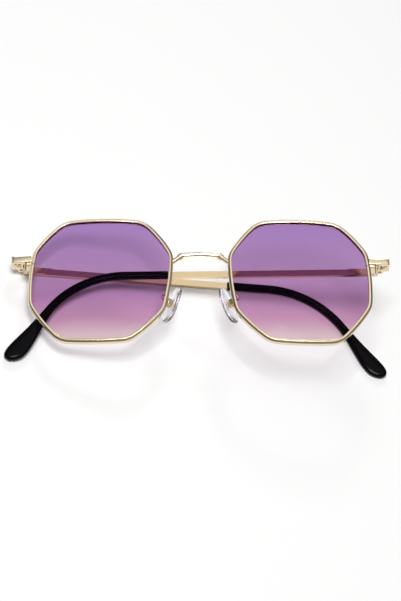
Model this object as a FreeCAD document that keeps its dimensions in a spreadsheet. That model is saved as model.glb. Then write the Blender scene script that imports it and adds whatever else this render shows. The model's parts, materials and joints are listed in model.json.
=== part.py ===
import FreeCAD, Part
import Sketcher
import math
import os

from FreeCAD import Placement, Rotation, Vector

# Octagonal eyeglasses, folded and lying on a table with the lenses up.
# Front frame: X to the viewer's right, Y towards the top of the lenses, Z out of the lenses.
# Sides: -1 is the left one in the picture, +1 the right one. Lengths in mm, angles in degrees.

os.makedirs("parts", exist_ok=True)
doc = FreeCAD.newDocument("octagonal_eyeglasses")
sheet = doc.addObject("Spreadsheet::Sheet", "Sizes")

SIZES = {
    # lens outline: corners of the right lens, temporal side positive
    "upper_temporal_across": 23.5, "upper_temporal_up": 11.4,
    "top_temporal_across": 13.4, "top_temporal_up": 22.85,
    "top_nasal_across": -14.4, "top_nasal_up": 22.85,
    "upper_nasal_across": -24.4, "upper_nasal_up": 9.7,
    "lower_nasal_across": -22.0, "lower_nasal_up": -11.6,
    "bottom_nasal_across": -10.2, "bottom_nasal_up": -23.0,
    "bottom_temporal_across": 13.6, "bottom_temporal_up": -23.0,
    "lower_temporal_across": 24.4, "lower_temporal_up": -9.3,
    "side_crown": 0.5, "corner_radius": 3.3,
    # lenses and rims
    "eye_centre": 35.55, "wrap_angle": 5, "base_radius": 150,
    "lens_thickness": 1.6, "lens_clearance": 0.05,
    "rim_width": 1.3, "rim_lip": 0.3, "rim_round": 0.35,
    "groove_depth": 0.5, "groove_wall": 0.45, "split_up": 6.5, "split_gap": 0.25,
    # bridge
    "bridge_up": 9.3, "bridge_rise": 0.5, "bridge_half_span": 6.6, "bridge_depth": -0.9,
    "bridge_root_across": 11.5, "bridge_root_up": 5.4, "bridge_radius": 0.85, "bridge_bend": 1.6,
    "bridge_knob_radius": 1.15, "bridge_knob_width": 1.5,
    # hinges
    "hinge_across": 64.8, "hinge_up": 8.8, "hinge_back": 9.0,
    "hinge_pitch_angle": 6, "hinge_cant_angle_left": 2.3, "hinge_cant_angle_right": 1.6,
    "hinge_offset": 2.1, "hinge_plate": 0.5, "knuckle_radius": 1.3, "knuckle_height": 1.0,
    "knuckle_gap": 0.06, "pin_radius": 0.6, "pin_clearance": 0.05, "web_reach": 1.9,
    "pin_head_radius": 1.05, "pin_head_height": 0.45, "pin_recess": 0.35,
    # endpieces
    "leg_thickness": 1.2, "leg_height": 2.9, "butt_gap": 0.15, "strip_height": 2.0,
    "strip_thickness": 1.2, "strip_front": 5.0, "strip_slope": 0.5, "strip_reach": 6.5,
    "endpiece_round": 1.6,
    # rim locks
    "block_reach": 3.1, "block_depth": 2.3, "block_height": 2.0, "block_round": 0.9,
    "block_front": 1.9, "rim_screw_radius": 0.55, "rim_screw_head_radius": 0.85,
    "rim_screw_head_height": 0.5, "rim_screw_out": 1.2, "screw_slot": 0.25, "screw_fit": 0.02,
    # temples
    "bar_start": 0.5, "bar_height": 2.6, "bar_thickness": 1.2, "bar_round": 0.2,
    "plate_start": 0.7, "plate_end": 11.3, "plate_slant": 2.2, "plate_height": 2.4,
    "tip_start": 76.5, "bend_start": 92, "bend_radius": 33, "bend_angle": 57,
    "tip_height": 3.0, "tip_thickness": 2.6, "tip_proud": 0.35, "tip_round": 1.0,
    "paddle_length": 22.5, "core_height": 1.4, "core_end": 13, "core_clearance": 0.04,
    "fold_angle_left": 10.6, "fold_angle_right": -0.35,
    # nose pads
    "pad_across": 10.6, "pad_down": 7.4, "pad_back": 6.36, "pad_frontal_angle": 18,
    "pad_splay_angle": 33,
    "pad_length": 14.6, "pad_width": 7.4, "pad_narrowing": 0.6, "pad_thickness": 2.0,
    "pad_corner": 3.0, "pad_edge": 0.85,
    "tenon_width": 1.2, "tenon_height": 1.4, "pad_pivot": 0.85, "tenon_tail": 0.65,
    "flange_width": 3.0, "flange_thickness": 0.5, "flange_clearance": 0.02,
    "box_gap": 0.08, "box_wall": 0.45, "box_height": 2.4, "box_top": 0.3, "box_room": 0.1,
    "pad_screw_radius": 0.35, "pad_screw_head_radius": 0.55, "pad_screw_head_height": 0.3,
    "arm_radius": 0.45, "arm_bend": 0.8, "arm_root_across": 11.8, "arm_root_down": 5.0,
    "arm_root_seat": 1.5, "arm_back": 3.9, "arm_loop_across": 13.5, "arm_loop_down": 5.3,
    "arm_loop_back": 4.15, "arm_reach": 1.1,
}
for row, (alias, value) in enumerate(SIZES.items(), start=1):
    sheet.set(f"A{row}", alias)
    sheet.set(f"B{row}", str(value))
    sheet.setAlias(f"B{row}", alias)
doc.recompute()

SIDES = {"left": -1, "right": 1}
CORNERS = ("upper_temporal", "top_temporal", "top_nasal", "upper_nasal",
           "lower_nasal", "bottom_nasal", "bottom_temporal", "lower_temporal")
X_AXIS, Y_AXIS, Z_AXIS = Vector(1, 0, 0), Vector(0, 1, 0), Vector(0, 0, 1)
FAR = 30.0

placed = []


def size(alias):
    """Return one driving dimension."""
    return float(sheet.get(alias))


def place(item, local):
    """Remember where an item sits in the front frame."""
    placed.append((item, local))
    return item


def helper(item, name):
    """Give a construction object a label that is not a piece's name."""
    item.Label = f"{name}_construction"
    return item


def new_body(name):
    """Make an empty body with a label."""
    body = doc.addObject("PartDesign::Body", name)
    body.Label = name
    return body


def plane_of(body, role):
    """Find one of a body's own origin planes."""
    return next(item for item in body.Origin.OriginFeatures if item.Role == role)


def new_sketch(body, role, name, lift="0"):
    """Make a sketch on a body's origin plane, lifted along the plane's normal."""
    sketch = body.newObject("Sketcher::SketchObject", name)
    sketch.AttachmentSupport = [(plane_of(body, role), "")]
    sketch.MapMode = "FlatFace"
    sketch.setExpression("AttachmentOffset.Base.z", lift)
    return sketch


def add_polygon(sketch, corners):
    """Draw a closed outline whose corners are bound to pairs of expressions."""
    first = sketch.GeometryCount
    count = len(corners)
    guess = [Vector(9 * math.cos(2 * math.pi * i / count), 9 * math.sin(2 * math.pi * i / count), 0)
             for i in range(count)]
    for i in range(count):
        sketch.addGeometry(Part.LineSegment(guess[i], guess[(i + 1) % count]), False)
    for i in range(count):
        here, following = first + i, first + (i + 1) % count
        sketch.addConstraint(Sketcher.Constraint("Coincident", here, 2, following, 1))
    for i, pair in enumerate(corners):
        for kind, expression, value in zip(("DistanceX", "DistanceY"), pair, guess[i]):
            index = sketch.addConstraint(Sketcher.Constraint(kind, -1, 1, first + i, 1, value))
            sketch.setExpression(f"Constraints[{index}]", expression)
    return sketch


def add_circle(sketch, radius):
    """Draw a circle about the sketch's origin, its radius bound to an expression."""
    index = sketch.addGeometry(Part.Circle(Vector(0, 0, 0), Z_AXIS, 1.0), False)
    sketch.addConstraint(Sketcher.Constraint("Coincident", index, 3, -1, 1))
    bound = sketch.addConstraint(Sketcher.Constraint("Radius", index, 1.0))
    sketch.setExpression(f"Constraints[{bound}]", radius)
    return sketch


def add_square(sketch, half):
    """Draw a square about the sketch's origin, half of its side bound to an expression."""
    less = f"-{half}"
    return add_polygon(sketch, [(less, less), (half, less), (half, half), (less, half)])


def add_curves(sketch, curves):
    """Draw an outline from curves that already meet end to end."""
    for curve in curves:
        sketch.addGeometry(curve, False)
    for index in range(len(curves)):
        sketch.addConstraint(Sketcher.Constraint("Block", index))
    return sketch


def pad(body, sketch, name, length):
    """Pad a sketch by half its length to each side of its plane."""
    feature = body.newObject("PartDesign::Pad", name)
    feature.Profile = sketch
    feature.Midplane = True
    feature.setExpression("Length", length)
    sketch.Visibility = False
    return feature


def pocket(body, sketch, name, length):
    """Cut a sketch by half its length to each side of its plane, and check that it cuts."""
    before = body.Shape.Volume
    feature = body.newObject("PartDesign::Pocket", name)
    feature.Profile = sketch
    feature.Midplane = True
    feature.setExpression("Length", length)
    doc.recompute()
    if not feature.Shape.Volume < before:
        raise ValueError(f"{body.Name}.{name} cuts nothing")
    return feature


def round_edges(body, name, radius, wanted):
    """Fillet the edges of a body's tip for which wanted(edge) is true."""
    doc.recompute()
    base = body.Tip
    names = [f"Edge{i}" for i, edge in enumerate(base.Shape.Edges, start=1) if wanted(edge)]
    if not names:
        raise ValueError(f"{body.Name}.{name} finds no edge")
    feature = body.newObject("PartDesign::Fillet", name)
    feature.Base = (base, names)
    feature.setExpression("Radius", radius)
    doc.recompute()
    return feature


def along(edge, axis):
    """Say whether an edge is a straight line along an axis."""
    return (isinstance(edge.Curve, Part.Line)
            and abs(abs(edge.tangentAt(edge.FirstParameter) * axis) - 1) < 1e-6)


def eye_frame(side):
    """Frame of one lens: origin on its front at its centre, turned by the wrap angle."""
    return Placement(Vector(side * size("eye_centre"), 0, 0), Rotation(Y_AXIS, side * size("wrap_angle")))


def hinge_frame(side):
    """Frame of one hinge: origin on its axis, Y along the axis, Z to the front."""
    origin = Vector(side * size("hinge_across"), size("hinge_up"), -size("hinge_back"))
    cant = size("hinge_cant_angle_left") if side < 0 else size("hinge_cant_angle_right")
    turn = Rotation(X_AXIS, -size("hinge_pitch_angle")).multiply(Rotation(Z_AXIS, cant))
    return Placement(origin, turn)


def temple_frame(side):
    """Frame of one folded temple: X along the bar, Y along the hinge axis."""
    turn = size("fold_angle_left") if side < 0 else 180 - size("fold_angle_right")
    return hinge_frame(side).multiply(Placement(Vector(0, 0, 0), Rotation(Y_AXIS, turn)))


def pad_frame(side):
    """Frame of one nose pad: X across it, Y along it, Z out of its face to the nose."""
    origin = Vector(side * size("pad_across"), -size("pad_down"), -size("pad_back"))
    lean = Rotation(Z_AXIS, side * size("pad_frontal_angle"))
    face = Rotation(Y_AXIS, -side * (90 + size("pad_splay_angle")))
    return Placement(origin, lean.multiply(face))


def rest_rotation():
    """Turn the front frame so that the folded left temple lies flat on the table."""
    up = temple_frame(-1).Rotation.multVec(Z_AXIS)
    across = X_AXIS - up * (X_AXIS * up)
    across.normalize()
    return Rotation(across, up.cross(across), up, "ZXY").inverted()


def outline_face(side, offset):
    """Face of the eight-sided lens outline with crowned sides and round corners, grown by offset."""
    radius = size("corner_radius")
    crown = size("side_crown")
    corners = [Vector(side * size(f"{name}_across"), size(f"{name}_up"), 0) for name in CORNERS]
    count = len(corners)
    sides = []
    for start, end in zip(corners, corners[1:] + corners[:1]):
        middle = (start + end) * 0.5
        outward = Vector(end.y - start.y, start.x - end.x, 0).normalize()
        outward = outward if outward * middle > 0 else outward * -1
        bend = (start.distanceToPoint(end) ** 2 / 4 + crown ** 2) / (2 * crown)
        sides.append((middle + outward * (crown - bend), bend, outward))
    rounds = []
    for index, corner in enumerate(corners):
        (first, first_bend, _), (second, second_bend, _) = sides[index - 1], sides[index]
        reach, other = first_bend - radius, second_bend - radius
        gap = second - first
        distance = gap.Length
        foot = (reach ** 2 - other ** 2 + distance ** 2) / (2 * distance)
        rise = math.sqrt(reach ** 2 - foot ** 2)
        gap.normalize()
        across = Vector(-gap.y, gap.x, 0)
        choices = [first + gap * foot + across * rise, first + gap * foot - across * rise]
        rounds.append(min(choices, key=corner.distanceToPoint))
    edges = []
    for index in range(count):
        centre, bend, outward = sides[index]
        here, following = rounds[index], rounds[(index + 1) % count]
        before = sides[index - 1][0]
        enter = here + (here - before).normalize() * (radius + offset)
        start = here + (here - centre).normalize() * (radius + offset)
        end = following + (following - centre).normalize() * (radius + offset)
        bulge = (enter + start) * 0.5 - here
        edges.append(Part.Arc(enter, here + bulge.normalize() * (radius + offset), start).toShape())
        edges.append(Part.Arc(start, centre + outward * (bend + offset), end).toShape())
    return Part.Face(Part.Wire(Part.__sortEdges__(edges)))


def lens_sphere(radius):
    """Ball about the centre of the lens curve, its seam turned away from the lens."""
    centre = Vector(0, 0, -size("base_radius"))
    ball = Part.makeSphere(radius)
    ball.rotate(Vector(0, 0, 0), Y_AXIS, 90)
    ball.translate(centre)
    return ball


def prism(side, offset):
    """Straight prism of the lens outline, grown by offset."""
    face = outline_face(side, offset)
    face.translate(Vector(0, 0, -FAR))
    return face.extrude(Vector(0, 0, 2 * FAR))


def curved_slab(side, offset, front, back):
    """Slab of the lens outline between two depths behind the lens front."""
    radius = size("base_radius")
    return prism(side, offset).common(lens_sphere(radius - front)).cut(lens_sphere(radius - back))


def feature(name, shape):
    """Put a shape into the document as an object with a label."""
    item = doc.addObject("Part::Feature", name)
    item.Label = name
    item.Shape = shape
    return item


def make_rim(word, side):
    """Rim: a curved ring with a groove inside, cut once at the rim lock."""
    lip, thickness = size("rim_lip"), size("lens_thickness")
    wall = size("groove_wall")
    ring = curved_slab(side, size("rim_width"), -lip, thickness + lip).cut(prism(side, 0))
    front = size("base_radius") + lip
    centre = Vector(0, 0, -size("base_radius"))
    outer = outline_face(side, size("rim_width")).OuterWire
    crest = [edge for edge in ring.Edges if on_crest(edge, centre, front, outer)]
    ring = ring.makeFillet(size("rim_round"), crest)
    ring = ring.cut(curved_slab(side, size("groove_depth"), wall - lip, thickness + lip - wall))
    gap = size("split_gap")
    slot = Part.makeBox(FAR, gap, 2 * FAR, Vector(0, size("split_up") - gap / 2, -FAR))
    slot = slot.mirror(Vector(0, 0, 0), X_AXIS) if side < 0 else slot
    return place(feature(f"rim_{word}", ring.cut(slot)), eye_frame(side))


def on_crest(edge, centre, radius, outer):
    """Say whether an edge is the outer edge of the rim's front."""
    points = edge.discretize(3)
    on_ball = all(abs(point.distanceToPoint(centre) - radius) < 1e-4 for point in points)
    flat = Part.Vertex(points[1].x, points[1].y, 0)
    return on_ball and outer.distToShape(flat)[0] < 1e-3


def make_lens(word, side):
    """Lens: a curved plate with a tongue round it for the groove."""
    clearance, thickness = size("lens_clearance"), size("lens_thickness")
    wall = size("groove_wall") - size("rim_lip") + clearance
    plate = curved_slab(side, -clearance, 0, thickness)
    tongue = curved_slab(side, size("groove_depth") - clearance, wall, thickness - wall)
    return place(feature(f"lens_{word}", plate.fuse(tongue).removeSplitter()), eye_frame(side))


def make_envelope(word, side):
    """Space that the rim and lens take up, used to fit what is soldered to the rim."""
    item = feature(f"rim_envelope_{word}", prism(side, size("rim_width")))
    return helper(place(item, eye_frame(side)), f"rim_envelope_{word}")


def subtract(name, base, tool):
    """Cut a tool from a base, under a piece's name."""
    cut = doc.addObject("Part::Cut", f"{name}_cut")
    cut.Base = base
    cut.Tool = tool
    cut.Label = name
    return cut


def rod(points, radius, bend):
    """Round rod along straight runs joined by tangent bends."""
    runs = []
    start = points[0]
    for before, corner, after in zip(points, points[1:], points[2:]):
        back = (before - corner).normalize()
        ahead = (after - corner).normalize()
        half = back.getAngle(ahead) / 2
        trim = bend / math.tan(half)
        enter, leave = corner + back * trim, corner + ahead * trim
        runs.append(Part.makeCylinder(radius, start.distanceToPoint(enter), start, back * -1))
        centre = corner + (back + ahead).normalize() * (bend / math.sin(half))
        disc = Part.Face(Part.Wire(Part.makeCircle(radius, enter, back)))
        axis = back.cross(ahead).normalize() * -1
        runs.append(disc.revolve(centre, axis, 180 - math.degrees(2 * half)))
        start = leave
    last = points[-1] - start
    runs.append(Part.makeCylinder(radius, last.Length, start, last))
    return runs[0].multiFuse(runs[1:]).removeSplitter()


def make_bridge(envelopes):
    """Bridge: a rod with a cranked root and a small collar at each end."""
    span, up, depth = size("bridge_half_span"), size("bridge_up"), size("bridge_depth")
    root = Vector(size("bridge_root_across"), size("bridge_root_up"), depth)
    top = up + size("bridge_rise")
    points = [Vector(-root.x, root.y, depth), Vector(-span, up, depth), Vector(0, top, depth),
              Vector(span, up, depth), root]
    shape = rod(points, size("bridge_radius"), size("bridge_bend"))
    width = size("bridge_knob_width")
    for side in SIDES.values():
        ahead = (root - points[3]).normalize()
        ahead = Vector(side * ahead.x, ahead.y, 0)
        middle = Vector(side * span, up, depth) + ahead * width / 2
        shape = shape.fuse(Part.makeCylinder(size("bridge_knob_radius"), width,
                                             middle - ahead * width / 2, ahead))
    bar = helper(place(feature("bridge_bar", shape.removeSplitter()), Placement()), "bridge_bar")
    half = subtract("bridge_half", bar, envelopes["left"])
    helper(half, "bridge_half")
    return subtract("bridge", half, envelopes["right"])


def make_endpiece(word, side, envelope):
    """Endpiece: a lug that turns from the rim's front back to the butt face."""
    body = place(new_body(f"endpiece_body_{word}"), hinge_frame(side))
    helper(body, f"endpiece_body_{word}")
    outer = f"{side} * (Sizes.hinge_offset + Sizes.leg_thickness)"
    inner = f"{side} * Sizes.hinge_offset"
    root = f"-{side} * Sizes.strip_reach"
    back = "Sizes.strip_front - Sizes.strip_thickness"
    lug = new_sketch(body, "XZ_Plane", "lug")
    add_polygon(lug, [(root, "Sizes.strip_front"), (outer, "Sizes.strip_front - Sizes.strip_slope"),
                      (outer, "Sizes.butt_gap"), (inner, "Sizes.butt_gap"),
                      (inner, f"{back} - Sizes.strip_slope"), (root, back)])
    pad(body, lug, "lug_pad", "Sizes.leg_height")
    doc.recompute()
    trim = new_sketch(body, "XY_Plane", "strip_trim")
    for sign in (1, -1):
        low, high = f"{sign} * Sizes.strip_height / 2", f"{sign} * Sizes.leg_height"
        foot = f"{side} * (Sizes.hinge_offset - Sizes.knuckle_radius)"
        add_polygon(trim, [(root, low), (foot, low), (inner, f"{sign} * Sizes.leg_height / 2"),
                           (inner, high), (root, high)])
    pocket(body, trim, "strip_pocket", "4 * Sizes.strip_front")
    corner = side * (size("hinge_offset") + size("leg_thickness"))
    front = size("strip_front") - size("strip_slope")
    round_edges(body, "corner_round", "Sizes.endpiece_round",
                lambda edge: along(edge, Y_AXIS) and abs(edge.CenterOfMass.x - corner) < 1e-4
                and abs(edge.CenterOfMass.z - front) < 1e-4)
    return subtract(f"endpiece_{word}", body, envelope)


def lock_across():
    """Distance of the rim lock's screw from the middle of the lens, as an expression."""
    return "(Sizes.lower_temporal_across + Sizes.rim_width + Sizes.rim_screw_out)"


def lock_spot(side):
    """Place of the rim lock's screw on the lens's own axes."""
    across = size("lower_temporal_across") + size("rim_width") + size("rim_screw_out")
    return Vector(side * across, size("split_up"), -(size("block_front") + size("block_depth") / 2))


def make_block(word, side, level, envelope, endpiece):
    """Half of the rim lock, with its screw hole, above or below the split."""
    name = f"closing_block_{level}_{word}"
    up = 1 if level == "upper" else -1
    body = helper(place(new_body(f"{name}_body"), eye_frame(side)), f"{name}_body")
    lift = f"-({up} * (Sizes.split_gap + Sizes.block_height) / 2 + Sizes.split_up)"
    near = f"{side} * ({lock_across()} - Sizes.block_reach)"
    far = f"{side} * ({lock_across()} + Sizes.block_depth / 2)"
    front, back = "-Sizes.block_front", "-(Sizes.block_front + Sizes.block_depth)"
    outline = new_sketch(body, "XZ_Plane", "block", lift)
    add_polygon(outline, [(near, front), (far, front), (far, back), (near, back)])
    pad(body, outline, "block_pad", "Sizes.block_height")
    edge_x = lock_spot(side).x + side * size("block_depth") / 2
    round_edges(body, "block_round", "Sizes.block_round",
                lambda edge: along(edge, Y_AXIS) and abs(edge.CenterOfMass.x - edge_x) < 1e-4)
    hole = new_sketch(body, "XZ_Plane", "screw_hole", lift)
    hole.setExpression("AttachmentOffset.Base.x", f"{side} * {lock_across()}")
    hole.setExpression("AttachmentOffset.Base.y", "-(Sizes.block_front + Sizes.block_depth / 2)")
    add_circle(hole, "Sizes.rim_screw_radius + Sizes.screw_fit")
    pocket(body, hole, "screw_pocket", "3 * Sizes.block_height")
    if level == "lower":
        seat = new_sketch(body, "XZ_Plane", "head_seat", f"{lift} + Sizes.block_height / 2")
        seat.setExpression("AttachmentOffset.Base.x", f"{side} * {lock_across()}")
        seat.setExpression("AttachmentOffset.Base.y", "-(Sizes.block_front + Sizes.block_depth / 2)")
        add_circle(seat, "Sizes.rim_screw_head_radius + Sizes.screw_fit")
        pocket(body, seat, "seat_pocket", "2 * Sizes.rim_screw_head_height")
        return subtract(name, body, envelope)
    half = helper(subtract(f"{name}_blank", body, envelope), f"{name}_blank")
    return subtract(name, half, endpiece)


def make_screw(name, local, head_radius, head_height, shaft_radius, length):
    """Slotted screw along its own Y axis, head at the origin, turned from one profile."""
    body = place(new_body(name), local)
    half = new_sketch(body, "XY_Plane", "half_profile")
    add_polygon(half, [("0", "0"), (head_radius, "0"), (head_radius, head_height),
                       (shaft_radius, head_height), (shaft_radius, length), ("0", length)])
    turned = body.newObject("PartDesign::Revolution", "turned")
    turned.Profile = half
    turned.ReferenceAxis = (half, ["V_Axis"])
    turned.Angle = 360
    doc.recompute()
    slot = new_sketch(body, "XY_Plane", "slot")
    half_slot, low, high = "Sizes.screw_slot / 2", f"-{head_height}", f"{head_height} / 2"
    add_polygon(slot, [(f"-{half_slot}", low), (half_slot, low), (half_slot, high), (f"-{half_slot}", high)])
    pocket(body, slot, "slot_pocket", f"4 * {head_radius}")
    return body


def make_rim_screw(word, side):
    """Screw that pulls the rim lock together, its head below."""
    drop = size("split_gap") / 2 + size("block_height")
    spot = Placement(lock_spot(side) - Vector(0, drop, 0), Rotation())
    length = "1.5 * Sizes.block_height + Sizes.split_gap + Sizes.screw_slot"
    return make_screw(f"rim_screw_{word}", eye_frame(side).multiply(spot),
                      "Sizes.rim_screw_head_radius", "Sizes.rim_screw_head_height",
                      "Sizes.rim_screw_radius", length)


def knuckle_pitch():
    """Distance from the middle knuckle's centre to an outer one's."""
    return "(Sizes.knuckle_height + Sizes.knuckle_gap)"


def add_knuckle(body, name, lift, web):
    """One hinge knuckle with the web that ties it to its plate."""
    ring = new_sketch(body, "XZ_Plane", f"{name}_ring", lift)
    add_circle(ring, "Sizes.knuckle_radius")
    pad(body, ring, f"{name}_ring_pad", "Sizes.knuckle_height")
    tie = new_sketch(body, "XZ_Plane", f"{name}_web", lift)
    add_polygon(tie, web)
    pad(body, tie, f"{name}_web_pad", "Sizes.knuckle_height")
    doc.recompute()


def drill_pin_hole(body):
    """Hole for the hinge screw through the knuckles."""
    hole = new_sketch(body, "XZ_Plane", "pin_hole")
    add_circle(hole, "Sizes.pin_radius + Sizes.pin_clearance")
    pocket(body, hole, "pin_pocket", "6 * Sizes.knuckle_height")


def make_front_hinge(word, side):
    """Front hinge half: a plate on the endpiece's leg with two knuckles."""
    body = place(new_body(f"front_hinge_{word}"), hinge_frame(side))
    face = f"{side} * Sizes.hinge_offset"
    inner = f"{side} * (Sizes.hinge_offset - Sizes.hinge_plate)"
    low = "2 * Sizes.butt_gap"
    high = "Sizes.strip_front - Sizes.strip_slope - Sizes.strip_thickness"
    plate = new_sketch(body, "XZ_Plane", "plate")
    add_polygon(plate, [(inner, low), (face, low), (face, high), (inner, high)])
    pad(body, plate, "plate_pad", "3 * Sizes.knuckle_height + 2 * Sizes.knuckle_gap")
    web = [("0", "0"), (f"{side} * Sizes.knuckle_radius * 0.9", low), (inner, low),
           (inner, "Sizes.web_reach"), ("0", "Sizes.knuckle_radius")]
    for name, sign in (("top", -1), ("bottom", 1)):
        add_knuckle(body, name, f"{sign} * {knuckle_pitch()}", web)
    drill_pin_hole(body)
    return body


def make_temple_hinge(word, side):
    """Temple hinge half: a long plate with a slanted end and one middle knuckle."""
    body = place(new_body(f"temple_hinge_{word}"), temple_frame(side))
    middle = f"{side} * (Sizes.hinge_offset - Sizes.hinge_plate / 2)"
    plate = new_sketch(body, "XY_Plane", "plate", middle)
    top, bottom = "Sizes.plate_height / 2", "-Sizes.plate_height / 2"
    add_polygon(plate, [("Sizes.plate_start", bottom), ("Sizes.plate_end - Sizes.plate_slant", bottom),
                        ("Sizes.plate_end", top), ("Sizes.plate_start", top)])
    pad(body, plate, "plate_pad", "Sizes.hinge_plate")
    inner = f"{side} * (Sizes.hinge_offset - Sizes.hinge_plate)"
    web = [("0", "0"), ("Sizes.knuckle_radius", "0"), ("Sizes.web_reach", inner),
           ("Sizes.plate_start", inner), ("Sizes.plate_start / 2", f"{side} * Sizes.knuckle_radius * 0.9")]
    add_knuckle(body, "middle", "0", web)
    drill_pin_hole(body)
    return body


def make_hinge_screw(word, side):
    """Hinge pin, its head on the top knuckle and its end sunk in the bottom one."""
    reach = 1.5 * size("knuckle_height") + size("knuckle_gap")
    spot = Placement(Vector(0, reach + size("pin_head_height"), 0), Rotation(X_AXIS, 180))
    length = ("Sizes.pin_head_height + 3 * Sizes.knuckle_height + 2 * Sizes.knuckle_gap"
              " - Sizes.pin_recess")
    return make_screw(f"hinge_screw_{word}", hinge_frame(side).multiply(spot),
                      "Sizes.pin_head_radius", "Sizes.pin_head_height", "Sizes.pin_radius", length)


def bend_end(offset):
    """Point at the end of the bend, offset to the outside of the curve."""
    angle = math.radians(size("bend_angle"))
    radius = size("bend_radius") + offset
    return Vector(size("bend_start") + radius * math.sin(angle),
                  -size("bend_radius") + radius * math.cos(angle), 0)


def bend_curves(start, half):
    """Top and bottom edges of a strip: straight, then round the bend."""
    angle = math.radians(size("bend_angle") / 2)
    curves = {}
    for name, sign in (("top", 1), ("bottom", -1)):
        radius = size("bend_radius") + sign * half
        begin = Vector(size("bend_start"), sign * half, 0)
        middle = Vector(size("bend_start") + radius * math.sin(angle),
                        -size("bend_radius") + radius * math.cos(angle), 0)
        curves[name] = [Part.LineSegment(Vector(start, sign * half, 0), begin),
                        Part.Arc(begin, middle, bend_end(sign * half))]
    return curves


def tip_point(length, rise):
    """Point of the paddle: a length past the bend and a rise to the outside."""
    angle = math.radians(size("bend_angle"))
    ahead = Vector(math.cos(angle), -math.sin(angle), 0)
    outside = Vector(math.sin(angle), math.cos(angle), 0)
    return bend_end(0) + ahead * length + outside * rise


def smooth_run(points, headings):
    """Tangent arcs through points, two to a stretch, with a heading in degrees at each point."""
    arcs = []
    ways = [Vector(math.cos(math.radians(turn)), math.sin(math.radians(turn)), 0) for turn in headings]
    for start, end, leave, arrive in zip(points, points[1:], ways, ways[1:]):
        chord = end - start
        both = leave + arrive
        spread = 2 * (1 - leave * arrive)
        if spread < 1e-9:
            reach = chord.Length / 4
        else:
            reach = (math.sqrt((chord * both) ** 2 + spread * chord * chord) - chord * both) / spread
        joint = (start + end + (leave - arrive) * reach) * 0.5
        for first, last, way in ((start, joint, leave), (joint, end, None)):
            arcs.append(arc_from(first, last, way) if way else arc_from(last, first, arrive * -1))
    return arcs


def arc_from(start, end, way):
    """Arc between two points that leaves the first one in a given direction."""
    chord = end - start
    normal = Vector(-way.y, way.x, 0)
    lean = 2 * (normal * chord)
    if abs(lean) < 1e-9 * chord.Length:
        return Part.LineSegment(start, end)
    radius = chord * chord / lean
    centre = start + normal * radius
    middle = centre + ((start + end) * 0.5 - centre).normalize() * abs(radius)
    return Part.Arc(start, middle, end)


def core_outline(extra):
    """Edges of the flat wire inside the tip, grown by a clearance."""
    half = size("core_height") / 2 + extra
    start = size("tip_start")
    strip = bend_curves(start, half)
    end_top, end_bottom = (tip_point(size("core_end") + extra, sign * half) for sign in (1, -1))
    return strip, [Part.LineSegment(bend_end(half), end_top), Part.LineSegment(end_top, end_bottom),
                   Part.LineSegment(end_bottom, bend_end(-half))]


def make_temple_bar(word, side):
    """Temple bar: a flat bar that narrows to the core wire inside the ear tip."""
    body = place(new_body(f"temple_bar_{word}"), temple_frame(side))
    middle = f"{side} * (Sizes.hinge_offset + Sizes.bar_thickness / 2)"
    bar = new_sketch(body, "XY_Plane", "bar", middle)
    top, bottom = "Sizes.bar_height / 2", "-Sizes.bar_height / 2"
    add_polygon(bar, [("Sizes.bar_start", bottom), ("Sizes.tip_start", bottom),
                      ("Sizes.tip_start", top), ("Sizes.bar_start", top)])
    pad(body, bar, "bar_pad", "Sizes.bar_thickness")
    outer = side * (size("hinge_offset") + size("bar_thickness"))
    round_edges(body, "bar_round", "Sizes.bar_round",
                lambda edge: along(edge, X_AXIS) and abs(edge.CenterOfMass.z - outer) < 1e-4)
    core = new_sketch(body, "XY_Plane", "core", middle)
    strip, end = core_outline(0)
    start = strip["bottom"][0].StartPoint
    close = Part.LineSegment(start, strip["top"][0].StartPoint)
    add_curves(core, strip["top"] + end + strip["bottom"] + [close])
    pad(body, core, "core_pad", "Sizes.bar_thickness - 2 * Sizes.bar_round")
    return body


def make_temple_tip(word, side):
    """Ear tip: a sleeve round the core wire that bends down and widens to a paddle."""
    body = place(new_body(f"temple_tip_{word}"), temple_frame(side))
    outer = "Sizes.hinge_offset + Sizes.bar_thickness + Sizes.tip_proud"
    middle = f"{side} * ({outer} - Sizes.tip_thickness / 2)"
    half = size("tip_height") / 2
    strip = bend_curves(size("tip_start"), half)
    length = size("paddle_length")
    shape = [(0.0, 1.0, 0), (0.42, 2.0, 10), (0.80, 3.0, 2), (0.97, 2.5, -42), (1.01, 0.9, -92),
             (0.93, -0.9, -134), (0.72, -1.95, -172), (0.36, -1.55, 170), (0.0, -1.0, 180)]
    points = [tip_point(length * share, half * rise) for share, rise, _ in shape]
    paddle = smooth_run(points, [turn - size("bend_angle") for _, _, turn in shape])
    close = Part.LineSegment(strip["bottom"][0].StartPoint, strip["top"][0].StartPoint)
    outline = new_sketch(body, "XY_Plane", "outline", middle)
    add_curves(outline, strip["top"] + paddle + strip["bottom"] + [close])
    pad(body, outline, "tip_pad", "Sizes.tip_thickness")
    start = size("tip_start")
    round_edges(body, "tip_round", "Sizes.tip_round",
                lambda edge: edge.BoundBox.XMax > start + 1e-3 and edge.BoundBox.ZLength < 1e-4)
    heart = f"{side} * (Sizes.hinge_offset + Sizes.bar_thickness / 2)"
    bore = new_sketch(body, "XY_Plane", "core_bore", heart)
    grown, end = core_outline(size("core_clearance"))
    close = Part.LineSegment(grown["bottom"][0].StartPoint, grown["top"][0].StartPoint)
    add_curves(bore, grown["top"] + end + grown["bottom"] + [close])
    pocket(body, bore, "core_pocket",
           "Sizes.bar_thickness - 2 * Sizes.bar_round + 2 * Sizes.core_clearance")
    return body


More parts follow.
